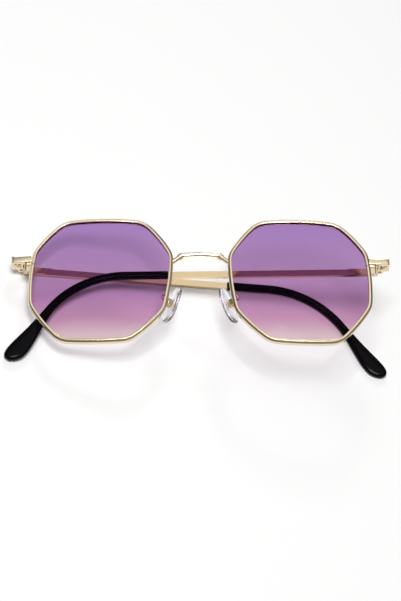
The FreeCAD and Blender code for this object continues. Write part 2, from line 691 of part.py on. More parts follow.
def make_nose_pad(word, side):
    """Nose pad: a soft crowned oval with a recess for its tenon's flange."""
    body = place(new_body(f"nose_pad_{word}"), pad_frame(side))
    outline = new_sketch(body, "XY_Plane", "outline", "Sizes.pad_thickness / 2")
    half, tall = "Sizes.pad_width / 2", "Sizes.pad_length / 2"
    add_polygon(outline, [(f"{half} - Sizes.pad_narrowing", tall), (f"-{half} + Sizes.pad_narrowing", tall),
                          (f"-{half}", f"-{tall}"), (half, f"-{tall}")])
    pad(body, outline, "oval_pad", "Sizes.pad_thickness")
    round_edges(body, "corner_round", "Sizes.pad_corner", lambda edge: along(edge, Z_AXIS))
    round_edges(body, "edge_round", "Sizes.pad_edge",
                lambda edge: edge.BoundBox.ZLength < 1e-4)
    recess = new_sketch(body, "XY_Plane", "recess")
    reach = "(Sizes.flange_width / 2 + Sizes.flange_clearance)"
    add_square(recess, reach)
    pocket(body, recess, "recess_pocket", "2 * (Sizes.flange_thickness + Sizes.flange_clearance)")
    return body


def make_pad_insert(word, side):
    """Metal insert: a flange in the pad and a tenon with the pivot hole."""
    body = place(new_body(f"pad_insert_{word}"), pad_frame(side))
    flange = new_sketch(body, "XY_Plane", "flange", "Sizes.flange_thickness / 2")
    reach = "Sizes.flange_width / 2"
    add_square(flange, reach)
    pad(body, flange, "flange_pad", "Sizes.flange_thickness")
    tail = "-(Sizes.pad_pivot + Sizes.tenon_tail)"
    half = "Sizes.tenon_height / 2"
    tenon = new_sketch(body, "YZ_Plane", "tenon")
    add_polygon(tenon, [(f"-{half}", "0"), (f"-{half}", tail), (half, tail), (half, "0")])
    pad(body, tenon, "tenon_pad", "Sizes.tenon_width")
    doc.recompute()
    hole = new_sketch(body, "YZ_Plane", "pivot_hole")
    hole.setExpression("AttachmentOffset.Base.y", "-Sizes.pad_pivot")
    add_circle(hole, "Sizes.pad_screw_radius + Sizes.screw_fit")
    pocket(body, hole, "pivot_pocket", "4 * Sizes.tenon_width")
    return body


def make_pad_box(word, side):
    """Pad box: a U-shaped clip open to the pad, drilled for the pad screw."""
    body = place(new_body(f"pad_box_{word}"), pad_frame(side))
    outer = "(Sizes.tenon_width / 2 + Sizes.box_gap + Sizes.box_wall)"
    inner = "(Sizes.tenon_width / 2 + Sizes.box_gap)"
    corner = math.hypot(size("tenon_height") / 2, size("tenon_tail"))
    floor = -(size("pad_pivot") + corner + size("box_room"))
    channel = new_sketch(body, "XZ_Plane", "channel")
    add_polygon(channel, [(f"-{outer}", "-Sizes.box_top"), (f"-{outer}", f"{floor} - Sizes.box_wall"),
                          (outer, f"{floor} - Sizes.box_wall"), (outer, "-Sizes.box_top"),
                          (inner, "-Sizes.box_top"), (inner, f"{floor}"),
                          (f"-{inner}", f"{floor}"), (f"-{inner}", "-Sizes.box_top")])
    pad(body, channel, "channel_pad", "Sizes.box_height")
    doc.recompute()
    hole = new_sketch(body, "YZ_Plane", "screw_hole")
    hole.setExpression("AttachmentOffset.Base.y", "-Sizes.pad_pivot")
    add_circle(hole, "Sizes.pad_screw_radius + Sizes.pin_clearance")
    pocket(body, hole, "screw_pocket", "8 * Sizes.tenon_width")
    return body


def make_pad_screw(word, side):
    """Tiny screw through the box and the tenon, its head in front."""
    half = size("tenon_width") / 2 + size("box_gap") + size("box_wall")
    spot = Vector(-half - size("pad_screw_head_height") - size("screw_fit"), 0, -size("pad_pivot"))
    local = pad_frame(side).multiply(Placement(spot, Rotation(Z_AXIS, -90)))
    length = ("Sizes.pad_screw_head_height + Sizes.screw_fit"
              " + 2 * (Sizes.tenon_width / 2 + Sizes.box_gap + Sizes.box_wall)")
    return make_screw(f"pad_screw_{word}", local, "Sizes.pad_screw_head_radius",
                      "Sizes.pad_screw_head_height", "Sizes.pad_screw_radius", length)


def make_pad_arm(word, side, rim):
    """Pad arm: a bent wire from the back of the rim round to the pad box."""
    corner = math.hypot(size("tenon_height") / 2, size("tenon_tail"))
    back = -(size("pad_pivot") + corner + size("box_room") + size("box_wall"))
    frame = pad_frame(side)
    end = frame.multVec(Vector(0, 0, back))
    ahead = frame.Rotation.multVec(Vector(0, 0, -1))
    root = Vector(side * size("arm_root_across"), -size("arm_root_down"), -size("arm_root_seat"))
    behind = Vector(root.x, root.y, -size("arm_back"))
    loop = Vector(side * size("arm_loop_across"), -size("arm_loop_down"), -size("arm_loop_back"))
    approach = end + ahead * size("arm_reach")
    wire = rod([root, behind, loop, approach, end], size("arm_radius"), size("arm_bend"))
    item = helper(place(feature(f"pad_arm_wire_{word}", wire), Placement()), f"pad_arm_wire_{word}")
    return subtract(f"pad_arm_{word}", item, rim)


def build():
    """Make every piece and return them by name."""
    pieces = []
    envelopes = {}
    for word, side in SIDES.items():
        envelopes[word] = make_envelope(word, side)
        rim = make_rim(word, side)
        pieces += [rim, make_lens(word, side)]
        endpiece = make_endpiece(word, side, envelopes[word])
        pieces.append(endpiece)
        pieces += [make_block(word, side, level, envelopes[word], endpiece)
                   for level in ("upper", "lower")]
        pieces += [make_rim_screw(word, side), make_front_hinge(word, side), make_hinge_screw(word, side)]
        pieces += [make_pad_box(word, side), make_pad_arm(word, side, rim)]
        pieces += [make_nose_pad(word, side), make_pad_insert(word, side), make_pad_screw(word, side)]
        pieces += [make_temple_bar(word, side), make_temple_hinge(word, side), make_temple_tip(word, side)]
    pieces.append(make_bridge(envelopes))
    return pieces


def settle(pieces):
    """Lay the glasses on the table, with the origin under the middle of their box."""
    turn = rest_rotation()
    for item, local in placed:
        item.Placement = Placement(Vector(0, 0, 0), turn).multiply(local)
    doc.recompute()
    box = FreeCAD.BoundBox()
    for item in pieces:
        box.add(item.Shape.optimalBoundingBox(False))
    shift = Vector(-box.Center.x, -box.Center.y, -box.ZMin)
    rest = Placement(shift, turn)
    for item, local in placed:
        item.Placement = rest.multiply(local)
    doc.recompute()
    return rest


def check(pieces):
    """Stop if an object failed or a piece is not one good solid."""
    for item in doc.Objects:
        if any(word in state for state in item.State for word in ("Invalid", "Error")):
            raise ValueError(f"{item.Name} failed: {item.State}")
    for item in pieces:
        if item.Shape.isNull() or not item.Shape.isValid():
            raise ValueError(f"{item.Label} has no valid shape")
        if len(item.Shape.Solids) != 1:
            raise ValueError(f"{item.Label} has {len(item.Shape.Solids)} solids")


def show_frames(rest):
    """Print where the joints lie, in mm."""
    for word, side in SIDES.items():
        hinge = rest.multiply(hinge_frame(side))
        nose = rest.multiply(pad_frame(side))
        pivot = nose.multVec(Vector(0, 0, -size("pad_pivot")))
        for name, point, axis in (("temple", hinge.Base, hinge.Rotation.multVec(Y_AXIS) * -side),
                                  ("pad", pivot, nose.Rotation.multVec(X_AXIS))):
            print("joint", name, word, *(f"{value:.5f}" for value in (*point, *axis)))
    tip = rest.multiply(temple_frame(-1)).multVec(tip_point(size("paddle_length") / 2, 0))
    saddle = rest.multVec(Vector(0, -size("pad_down"), -size("pad_back")))
    marks = {"table_rest": Vector(tip.x, tip.y, 0), "nose_saddle": saddle,
             "nose_axis": rest.Rotation.multVec(Z_AXIS) * -1, "front_origin": rest.Base,
             "front_across": rest.Rotation.multVec(X_AXIS), "front_up": rest.Rotation.multVec(Y_AXIS)}
    for name, spot in marks.items():
        print("mark", name, *(f"{value:.5f}" for value in spot))


pieces = build()
rest_place = settle(pieces)
check(pieces)
show_frames(rest_place)
for piece in pieces:
    piece.Shape.exportStep(f"parts/{piece.Label}.step")
print(len(pieces), "pieces")
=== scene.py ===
"""Octagonal eyeglasses, folded on a white table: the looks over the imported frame.

Pieces are shaped in millimetres in the front's own frame (across, up, out of the lenses). One
matrix carries them to the part's frame in metres, with +Z up off the table, +X along the front to
the right and +Y towards the top of the lenses. The studio is laid out in metres.
"""
import json
import logging
import math
from dataclasses import dataclass, field
from enum import Enum
from typing import Sequence

import bmesh
import bpy
from mathutils import Matrix, Vector


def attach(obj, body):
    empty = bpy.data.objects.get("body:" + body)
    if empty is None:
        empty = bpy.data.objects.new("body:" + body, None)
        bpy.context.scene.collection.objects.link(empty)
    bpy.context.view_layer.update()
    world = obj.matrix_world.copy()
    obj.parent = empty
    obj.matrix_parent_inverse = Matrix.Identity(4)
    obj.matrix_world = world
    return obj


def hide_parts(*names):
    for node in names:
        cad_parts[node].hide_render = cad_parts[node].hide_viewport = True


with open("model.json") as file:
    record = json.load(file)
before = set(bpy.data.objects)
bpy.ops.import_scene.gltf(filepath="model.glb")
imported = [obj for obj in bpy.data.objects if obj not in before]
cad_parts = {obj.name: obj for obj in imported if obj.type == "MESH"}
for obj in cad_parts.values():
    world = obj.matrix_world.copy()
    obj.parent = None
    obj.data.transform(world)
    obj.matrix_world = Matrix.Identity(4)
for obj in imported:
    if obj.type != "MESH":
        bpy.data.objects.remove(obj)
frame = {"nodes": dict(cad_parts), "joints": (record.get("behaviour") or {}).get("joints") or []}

LOG = logging.getLogger("eyeglasses")
MM = 0.001
Point = tuple[float, float]
Colour = tuple[float, float, float]
Ring = list[bmesh.types.BMVert]


class Side(Enum):
    """The two sides of the glasses, as the picture shows them."""

    LEFT = -1
    RIGHT = 1

    @property
    def word(self) -> str:
        """Ending of the node names on this side."""
        return self.name.lower()


def rotation(degrees: float, axis: str) -> Matrix:
    """Return a turn about one axis as a 4 by 4 matrix."""
    return Matrix.Rotation(math.radians(degrees), 4, axis)


def smooth_object(name: str, mesh: bpy.types.Mesh) -> bpy.types.Object:
    """Put a mesh into the scene with smooth faces.

    Args:
        name: The object's name.
        mesh: The finished mesh.

    Returns:
        The new object, unturned and at the origin.
    """
    mesh.polygons.foreach_set("use_smooth", [True] * len(mesh.polygons))
    piece = bpy.data.objects.new(name, mesh)
    bpy.context.scene.collection.objects.link(piece)
    return piece


def skin_rings(shell: bmesh.types.BMesh, one: Ring, other: Ring) -> None:
    """Join two closed rings of equal count by a band of faces.

    Args:
        shell: The mesh under construction.
        one: The first ring of corners.
        other: The ring that follows it.
    """
    for i in range(len(one)):
        following = (i + 1) % len(one)
        shell.faces.new((one[i], one[following], other[following], other[i]))


def close_ring(shell: bmesh.types.BMesh, ring: Ring, centre: Vector) -> None:
    """Close a ring with a fan of faces.

    Args:
        shell: The mesh under construction.
        ring: The ring of corners to close.
        centre: Where the fan's faces meet.
    """
    hub = shell.verts.new(centre)
    for i in range(len(ring)):
        shell.faces.new((ring[i], ring[(i + 1) % len(ring)], hub))


def finish_shell(shell: bmesh.types.BMesh, name: str) -> bpy.types.Mesh:
    """Turn a mesh under construction into a finished one.

    Args:
        shell: The mesh under construction, which is freed.
        name: The name of the mesh.

    Returns:
        The plain mesh.
    """
    mesh = bpy.data.meshes.new(name)
    shell.to_mesh(mesh)
    shell.free()
    return mesh


# Finishes


class Shader:
    """A small writer of material node trees."""

    def __init__(self, name: str) -> None:
        """Start an empty material."""
        self.material = bpy.data.materials.new(name)
        self.material.use_nodes = True
        self.tree = self.material.node_tree
        self.tree.nodes.clear()
        self.output = self.node("ShaderNodeOutputMaterial")

    def node(self, kind: str, **settings: object) -> bpy.types.Node:
        """Add a node.

        Args:
            kind: The node's type name.
            **settings: Attributes of the node, or inputs where no attribute has that name.

        Returns:
            The new node.
        """
        made = self.tree.nodes.new(kind)
        for key, value in settings.items():
            if hasattr(made, key):
                setattr(made, key, value)
            else:
                made.inputs[key.replace("_", " ")].default_value = value
        return made

    def link(self, source: bpy.types.NodeSocket, target: bpy.types.NodeSocket) -> None:
        """Join two sockets."""
        self.tree.links.new(source, target)

    def grain(self, scale: float, detail: float = 3.0) -> bpy.types.Node:
        """Add noise on the object's own coordinates."""
        place = self.node("ShaderNodeTexCoord")
        noise = self.node("ShaderNodeTexNoise", Scale=scale, Detail=detail)
        self.link(place.outputs["Object"], noise.inputs["Vector"])
        return noise

    def spread(self, source: bpy.types.NodeSocket, low: float, high: float) -> bpy.types.NodeSocket:
        """Map a value of 0 to 1 to a range."""
        ranger = self.node("ShaderNodeMapRange")
        ranger.inputs["To Min"].default_value = low
        ranger.inputs["To Max"].default_value = high
        self.link(source, ranger.inputs["Value"])
        return ranger.outputs["Result"]

    def relief(self, noise: bpy.types.Node, surface: bpy.types.Node, strength: float,
               distance: float) -> None:
        """Press a noise into a surface.

        Args:
            noise: The noise node.
            surface: The shader node that takes the relief.
            strength: How strongly the relief shows.
            distance: Its height in metres.
        """
        bump = self.node("ShaderNodeBump", Strength=strength, Distance=distance)
        self.link(noise.outputs["Fac"], bump.inputs["Height"])
        self.link(bump.outputs["Normal"], surface.inputs["Normal"])

    def mixed(self, share: bpy.types.NodeSocket, first: bpy.types.Node,
              second: bpy.types.Node) -> bpy.types.Node:
        """Mix two shaders.

        Args:
            share: How much of the second shows.
            first: The shader at 0.
            second: The shader at 1.

        Returns:
            The mixing node.
        """
        mix = self.node("ShaderNodeMixShader")
        self.link(share, mix.inputs[0])
        self.link(first.outputs["BSDF"], mix.inputs[1])
        self.link(second.outputs["BSDF"], mix.inputs[2])
        return mix

    def finished(self, surface: bpy.types.Node) -> bpy.types.Material:
        """Put a shader on the surface and return the material."""
        self.link(surface.outputs[0], self.output.inputs["Surface"])
        return self.material


@dataclass(frozen=True)
class GoldPlate:
    """Polished gold plating with faint wipe marks."""

    name: str
    colour: Colour
    polish: float = 0.16
    wiped_share: float = 0.93
    cloud_scale: float = 260.0
    grain_scale: float = 1900.0

    def make(self) -> bpy.types.Material:
        """Return the material."""
        shader = Shader(self.name)
        metal = shader.node("ShaderNodeBsdfPrincipled", Metallic=1.0)
        cloudy = shader.grain(self.cloud_scale)
        tint = shader.node("ShaderNodeMix", data_type="RGBA")
        tint.inputs["A"].default_value = (*self.colour, 1.0)
        tint.inputs["B"].default_value = (*(value * self.wiped_share for value in self.colour), 1.0)
        shader.link(cloudy.outputs["Fac"], tint.inputs["Factor"])
        shader.link(tint.outputs["Result"], metal.inputs["Base Color"])
        fine = shader.grain(self.grain_scale, 5.0)
        shader.link(shader.spread(fine.outputs["Fac"], self.polish - 0.04, self.polish + 0.06),
                    metal.inputs["Roughness"])
        shader.relief(fine, metal, 0.04, 0.00002)
        return shader.finished(metal)


@dataclass(frozen=True)
class GlossBlack:
    """Glossy black cellulose of the ear tips."""

    name: str = "gloss_black_tip"
    colour: Colour = (0.0022, 0.0016, 0.0026)
    sheen: float = 0.07
    roughness: Point = (0.09, 0.17)
    grain_scale: float = 900.0

    def make(self) -> bpy.types.Material:
        """Return the material."""
        shader = Shader(self.name)
        skin = shader.node("ShaderNodeBsdfPrincipled", IOR=1.5)
        skin.inputs["Specular IOR Level"].default_value = self.sheen
        skin.inputs["Base Color"].default_value = (*self.colour, 1.0)
        fine = shader.grain(self.grain_scale, 4.0)
        shader.link(shader.spread(fine.outputs["Fac"], *self.roughness), skin.inputs["Roughness"])
        shader.relief(fine, skin, 0.05, 0.00003)
        return shader.finished(skin)


@dataclass(frozen=True)
class TintedLens:
    """Lens tint that fades from violet at the top to pale pink at the bottom."""

    name: str = "graded_lens_tint"
    # share of the lens's height, and the tint that one surface gives the light there
    stops: tuple[tuple[float, Colour], ...] = (
        (0.03, (0.85, 0.76, 0.77)), (0.17, (0.77, 0.565, 0.705)), (0.36, (0.67, 0.48, 0.67)),
        (0.57, (0.662, 0.505, 0.70)), (1.00, (0.612, 0.463, 0.712)))
    shadow_tint: Colour = (0.97, 0.955, 0.97)
    most_gloss: float = 0.05

    def make(self) -> bpy.types.Material:
        """Return the material, which reads the lens's own height map."""
        shader = Shader(self.name)
        height = shader.node("ShaderNodeUVMap", uv_map="height")
        parts = shader.node("ShaderNodeSeparateXYZ")
        shader.link(height.outputs["UV"], parts.inputs["Vector"])
        ramp = shader.node("ShaderNodeValToRGB")
        line = ramp.color_ramp
        for index, (place, colour) in enumerate(self.stops):
            stop = line.elements[index] if index < 2 else line.elements.new(place)
            stop.position = place
            stop.color = (*colour, 1.0)
        shader.link(parts.outputs["Y"], ramp.inputs["Fac"])
        through = shader.node("ShaderNodeBsdfTransparent")
        paler = shader.node("ShaderNodeMix", data_type="RGBA")
        paler.inputs["B"].default_value = (*self.shadow_tint, 1.0)
        path = shader.node("ShaderNodeLightPath")
        shader.link(path.outputs["Is Shadow Ray"], paler.inputs["Factor"])
        shader.link(ramp.outputs["Color"], paler.inputs["A"])
        shader.link(paler.outputs["Result"], through.inputs["Color"])
        gloss = shader.node("ShaderNodeBsdfGlossy", Roughness=0.03)
        edge = shader.node("ShaderNodeFresnel", IOR=1.45)
        share = shader.spread(edge.outputs["Fac"], 0.0, self.most_gloss)
        return shader.finished(shader.mixed(share, through, gloss))


@dataclass(frozen=True)
class ClearSilicone:
    """Clear soft pad that lets most light through, also in its shadow."""

    name: str = "clear_silicone_pad"
    colour: Colour = (0.87, 0.86, 0.91)
    shadow_tint: Colour = (0.82, 0.82, 0.84)
    grain_scale: float = 700.0

    def make(self) -> bpy.types.Material:
        """Return the material."""
        shader = Shader(self.name)
        clear = shader.node("ShaderNodeBsdfPrincipled", IOR=1.41, Roughness=0.08)
        clear.inputs["Transmission Weight"].default_value = 1.0
        clear.inputs["Base Color"].default_value = (*self.colour, 1.0)
        shader.relief(shader.grain(self.grain_scale), clear, 0.05, 0.00005)
        through = shader.node("ShaderNodeBsdfTransparent")
        through.inputs["Color"].default_value = (*self.shadow_tint, 1.0)
        path = shader.node("ShaderNodeLightPath")
        return shader.finished(shader.mixed(path.outputs["Is Shadow Ray"], clear, through))


@dataclass
class Finishes:
    """Every finish of the glasses, made once, with the CAD nodes that take it."""

    front_gold: bpy.types.Material = field(
        default_factory=lambda: GoldPlate("pale_gold_front", (0.87, 0.74, 0.52)).make())
    temple_gold: bpy.types.Material = field(
        default_factory=lambda: GoldPlate("warm_gold_temple", (0.90, 0.70, 0.43)).make())
    screw_gold: bpy.types.Material = field(
        default_factory=lambda: GoldPlate("turned_gold_screw", (0.74, 0.66, 0.50), 0.22).make())
    black: bpy.types.Material = field(default_factory=lambda: GlossBlack().make())
    tint: bpy.types.Material = field(default_factory=lambda: TintedLens().make())
    clear: bpy.types.Material = field(default_factory=lambda: ClearSilicone().make())

    def for_node(self, node: str) -> bpy.types.Material:
        """Return the finish of a CAD node."""
        table = {"temple_bar": self.temple_gold, "temple_hinge": self.temple_gold,
                 "temple_tip": self.black, "lens": self.tint, "nose_pad": self.clear,
                 "rim_screw": self.screw_gold, "hinge_screw": self.screw_gold,
                 "pad_screw": self.screw_gold}
        fits = [start for start in table if node.startswith(start)]
        return table[max(fits, key=len)] if fits else self.front_gold

    def dress_nodes(self) -> None:
        """Give every CAD node its finish."""
        for name, node in frame["nodes"].items():
            node.data.materials.clear()
            node.data.materials.append(self.for_node(name))


# Places


@dataclass(frozen=True)
class FrontPlace:
    """Where the front lies: turned so that the folded left temple is flat on the table."""

    hinge: Vector = Vector((-64.8, 8.8, -9.0))
    hinge_pitch: float = 6.0
    hinge_cant: tuple[float, float] = (2.3, 1.6)
    fold: tuple[float, float] = (10.6, -0.35)

    def hinge_matrix(self, side: Side) -> Matrix:
        """Return one hinge's frame in the front's, in millimetres."""
        spot = Vector((-side.value * self.hinge.x, self.hinge.y, self.hinge.z))
        cant = self.hinge_cant[side is Side.RIGHT]
        return Matrix.Translation(spot) @ rotation(-self.hinge_pitch, "X") @ rotation(cant, "Z")

    def temple_matrix(self, side: Side) -> Matrix:
        """Return one folded temple's frame in the front's, in millimetres."""
        turn = 180 - self.fold[1] if side is Side.RIGHT else self.fold[0]
        return self.hinge_matrix(side) @ rotation(turn, "Y")

    def matrix(self) -> Matrix:
        """Return the front's frame in the part's, in metres, for points in millimetres."""
        up = self.temple_matrix(Side.LEFT).to_3x3() @ Vector((0, 0, 1))
        across = Vector((1, 0, 0))
        across = (across - up * across.dot(up)).normalized()
        turn = Matrix((across, up.cross(across), up)).to_4x4() @ Matrix.Scale(MM, 4)
        pin = next(item for item in frame["joints"] if item["name"] == "temple_left_fold")
        return Matrix.Translation(Vector(pin["pos_m"]) - turn @ self.hinge) @ turn


PLACE = FrontPlace()
FRONT = PLACE.matrix()


@dataclass(frozen=True)
class LensOutline:
    """Eight-sided outline with crowned sides and round corners, on one lens's own axes."""

    corners: tuple[Point, ...] = ((23.5, 11.4), (13.4, 23.1), (-14.4, 23.1), (-24.4, 9.7),
                                  (-22.0, -11.6), (-10.2, -23.0), (13.6, -23.0), (24.4, -9.3))
    side_crown: float = 0.65
    corner_radius: float = 8.0
    base_radius: float = 150.0

    def sides(self, side: Side) -> list[tuple[Vector, float]]:
        """Return the centre and radius of each crowned side.

        Args:
            side: The lens's side.

        Returns:
            One pair for each side, in the order of the corners.
        """
        spots = [Vector((side.value * x, y)) for x, y in self.corners]
        arcs = []
        for start, end in zip(spots, spots[1:] + spots[:1]):
            middle = (start + end) / 2
            outward = Vector((end.y - start.y, start.x - end.x)).normalized()
            outward = outward if outward.dot(middle) > 0 else -outward
            bend = ((start - end).length_squared / 4 + self.side_crown ** 2) / (2 * self.side_crown)
            arcs.append((middle + outward * (self.side_crown - bend), bend))
        return arcs

    def corner_centre(self, side: Side, index: int) -> Vector:
        """Find the centre of the round that touches both sides at a corner.

        Args:
            side: The lens's side.
            index: The corner's place in the list.

        Returns:
            The centre, inside the corner.
        """
        arcs = self.sides(side)
        (first, first_bend), (second, second_bend) = arcs[index - 1], arcs[index]
        reach, other = first_bend - self.corner_radius, second_bend - self.corner_radius
        gap = second - first
        foot = (reach ** 2 - other ** 2 + gap.length_squared) / (2 * gap.length)
        rise = math.sqrt(reach ** 2 - foot ** 2)
        way = gap.normalized()
        across = Vector((-way.y, way.x))
        corner = Vector((side.value * self.corners[index][0], self.corners[index][1]))
        choices = (first + way * foot + across * rise, first + way * foot - across * rise)
        return min(choices, key=lambda spot: (spot - corner).length)

    def points(self, side: Side, offset: float, per_side: int = 14,
               per_corner: int = 9) -> list[Vector]:
        """Walk round the outline.

        Args:
            side: The lens's side.
            offset: How far outside the lens opening the line runs.
            per_side: Points along each crowned side.
            per_corner: Points round each corner.

        Returns:
            The points in order from the upper temporal corner, without repeating the first.
        """
        arcs = self.sides(side)
        centres = [self.corner_centre(side, index) for index in range(len(arcs))]
        walk: list[Vector] = []
        for index, (centre, bend) in enumerate(arcs):
            here, following = centres[index], centres[(index + 1) % len(arcs)]
            before = arcs[index - 1][0]
            reach = self.corner_radius + offset
            walk += self.sweep(here, reach, here - before, here - centre, per_corner)
            along = self.sweep(centre, bend + offset, here - centre, following - centre, per_side)
            walk += along[1:-1]
        return walk

    @staticmethod
    def sweep(centre: Vector, reach: float, start: Vector, end: Vector, count: int) -> list[Vector]:
        """Walk along an arc.

        Args:
            centre: The arc's centre.
            reach: Its radius.
            start: Direction of its first point from the centre.
            end: Direction of its last point from the centre.
            count: How many points it gets.

        Returns:
            The points, evenly spaced by angle.
        """
        low = math.atan2(start.y, start.x)
        turn = math.atan2(start.x * end.y - start.y * end.x, start.dot(end))
        angles = [low + turn * step / (count - 1) for step in range(count)]
        return [centre + Vector((math.cos(angle), math.sin(angle))) * reach for angle in angles]

    def dome(self, spot: Vector, depth: float = 0.0) -> Vector:
        """Lift a flat point onto the lens curve.

        Args:
            spot: The point on the lens's own plane.
            depth: How far behind the lens's front it lies.

        Returns:
            The point on the curve.
        """
        radius = self.base_radius - depth
        height = math.sqrt(radius ** 2 - spot.x ** 2 - spot.y ** 2) - self.base_radius
        return Vector((spot.x, spot.y, height))


class SweptProfile:
    """Geometry Nodes tree that carries one shaped profile along a path."""

    def __init__(self, name: str, corners: Sequence[Point]) -> None:
        """Start the tree.

        Args:
            name: The tree's name.
            corners: The profile's corners as shares of its width and depth.
        """
        self.tree = bpy.data.node_groups.new(name, "GeometryNodeTree")
        self.tree.is_modifier = True
        self.sockets: dict[str, str] = {}
        face = self.tree.interface
        face.new_socket("Path", in_out="INPUT", socket_type="NodeSocketGeometry")
        kinds = {"Profile Width": "NodeSocketFloat", "Profile Depth": "NodeSocketFloat",
                 "Corner Radius": "NodeSocketFloat", "Corner Points": "NodeSocketInt",
                 "Finish": "NodeSocketMaterial"}
        for label, kind in kinds.items():
            socket = face.new_socket(label, in_out="INPUT", socket_type=kind)
            self.sockets[label] = socket.identifier
        face.new_socket("Swept", in_out="OUTPUT", socket_type="NodeSocketGeometry")
        self.wire(corners)

    def join(self, source: bpy.types.Node, out: str, target: bpy.types.Node, into: str | int) -> None:
        """Join two nodes.

        Args:
            source: The node that gives the value.
            out: The name of its output.
            target: The node that takes the value.
            into: The name or number of its input.
        """
        self.tree.links.new(source.outputs[out], target.inputs[into])

    def wire(self, corners: Sequence[Point]) -> None:
        """Lay out the nodes for a profile with these corners."""
        new = self.tree.nodes.new
        entry, leave = new("NodeGroupInput"), new("NodeGroupOutput")
        row = new("GeometryNodeMeshLine")
        row.inputs["Count"].default_value = len(corners)
        index = new("GeometryNodeInputIndex")
        pick = new("GeometryNodeIndexSwitch")
        pick.data_type = "VECTOR"
        while len(pick.index_switch_items) < len(corners):
            pick.index_switch_items.new()
        for number, (across, deep) in enumerate(corners):
            pick.inputs[number + 1].default_value = (across, deep, 0.0)
        scale = new("ShaderNodeCombineXYZ")
        self.join(entry, "Profile Width", scale, "X")
        self.join(entry, "Profile Depth", scale, "Y")
        spot = new("ShaderNodeVectorMath")
        spot.operation = "MULTIPLY"
        self.join(index, "Index", pick, "Index")
        self.join(pick, "Output", spot, 0)
        self.join(scale, "Vector", spot, 1)
        shape = new("GeometryNodeSetPosition")
        self.join(row, "Mesh", shape, "Geometry")
        self.join(spot, "Vector", shape, "Position")
        line, ring = new("GeometryNodeMeshToCurve"), new("GeometryNodeSetSplineCyclic")
        ring.inputs["Cyclic"].default_value = True
        soft = new("GeometryNodeFilletCurve")
        soft.mode = "POLY"
        soft.inputs["Limit Radius"].default_value = True
        self.join(shape, "Geometry", line, "Mesh")
        self.join(line, "Curve", ring, "Geometry")
        self.join(ring, "Geometry", soft, "Curve")
        self.join(entry, "Corner Radius", soft, "Radius")
        self.join(entry, "Corner Points", soft, "Count")
        path, upright = new("GeometryNodeMeshToCurve"), new("GeometryNodeSetCurveNormal")
        upright.mode = "Z_UP"
        self.join(entry, "Path", path, "Mesh")
        self.join(path, "Curve", upright, "Curve")
        sweep = new("GeometryNodeCurveToMesh")
        sweep.inputs["Fill Caps"].default_value = True
        self.join(upright, "Curve", sweep, "Curve")
        self.join(soft, "Curve", sweep, "Profile Curve")
        real, paint = new("GeometryNodeRealizeInstances"), new("GeometryNodeSetMaterial")
        self.join(sweep, "Mesh", real, "Geometry")
        self.join(real, "Geometry", paint, "Geometry")
        self.join(entry, "Finish", paint, "Material")
        self.join(paint, "Geometry", leave, "Swept")

    def run(self, name: str, path: Sequence[Vector], settings: dict[str, object]) -> bpy.types.Mesh:
        """Sweep the profile along an open path.

        Args:
            name: The name of the mesh.
            path: The path's points, in millimetres.
            settings: Values for the tree's named inputs.

        Returns:
            A plain mesh on the path's own axes.
        """
        line = bpy.data.meshes.new(f"{name}_path")
        links = [(i, i + 1) for i in range(len(path) - 1)]
        line.from_pydata([tuple(point) for point in path], links, [])
        holder = bpy.data.objects.new(f"{name}_path", line)
        bpy.context.scene.collection.objects.link(holder)
        sweep = holder.modifiers.new("sweep", "NODES")
        sweep.node_group = self.tree
        for label, value in settings.items():
            sweep[self.sockets[label]] = value
        graph = bpy.context.evaluated_depsgraph_get()
        mesh = bpy.data.meshes.new_from_object(holder.evaluated_get(graph))
        mesh.name = name
        holder.modifiers.remove(sweep)
        bpy.data.objects.remove(holder)
        return mesh


def tidy_mesh(mesh: bpy.types.Mesh, distance: float = 1e-7) -> None:
    """Merge doubles and turn every face outwards."""
    shell = bmesh.new()
    shell.from_mesh(mesh)
    bmesh.ops.remove_doubles(shell, verts=shell.verts, dist=distance)
    bmesh.ops.recalc_face_normals(shell, faces=shell.faces)
    shell.to_mesh(mesh)
    shell.free()


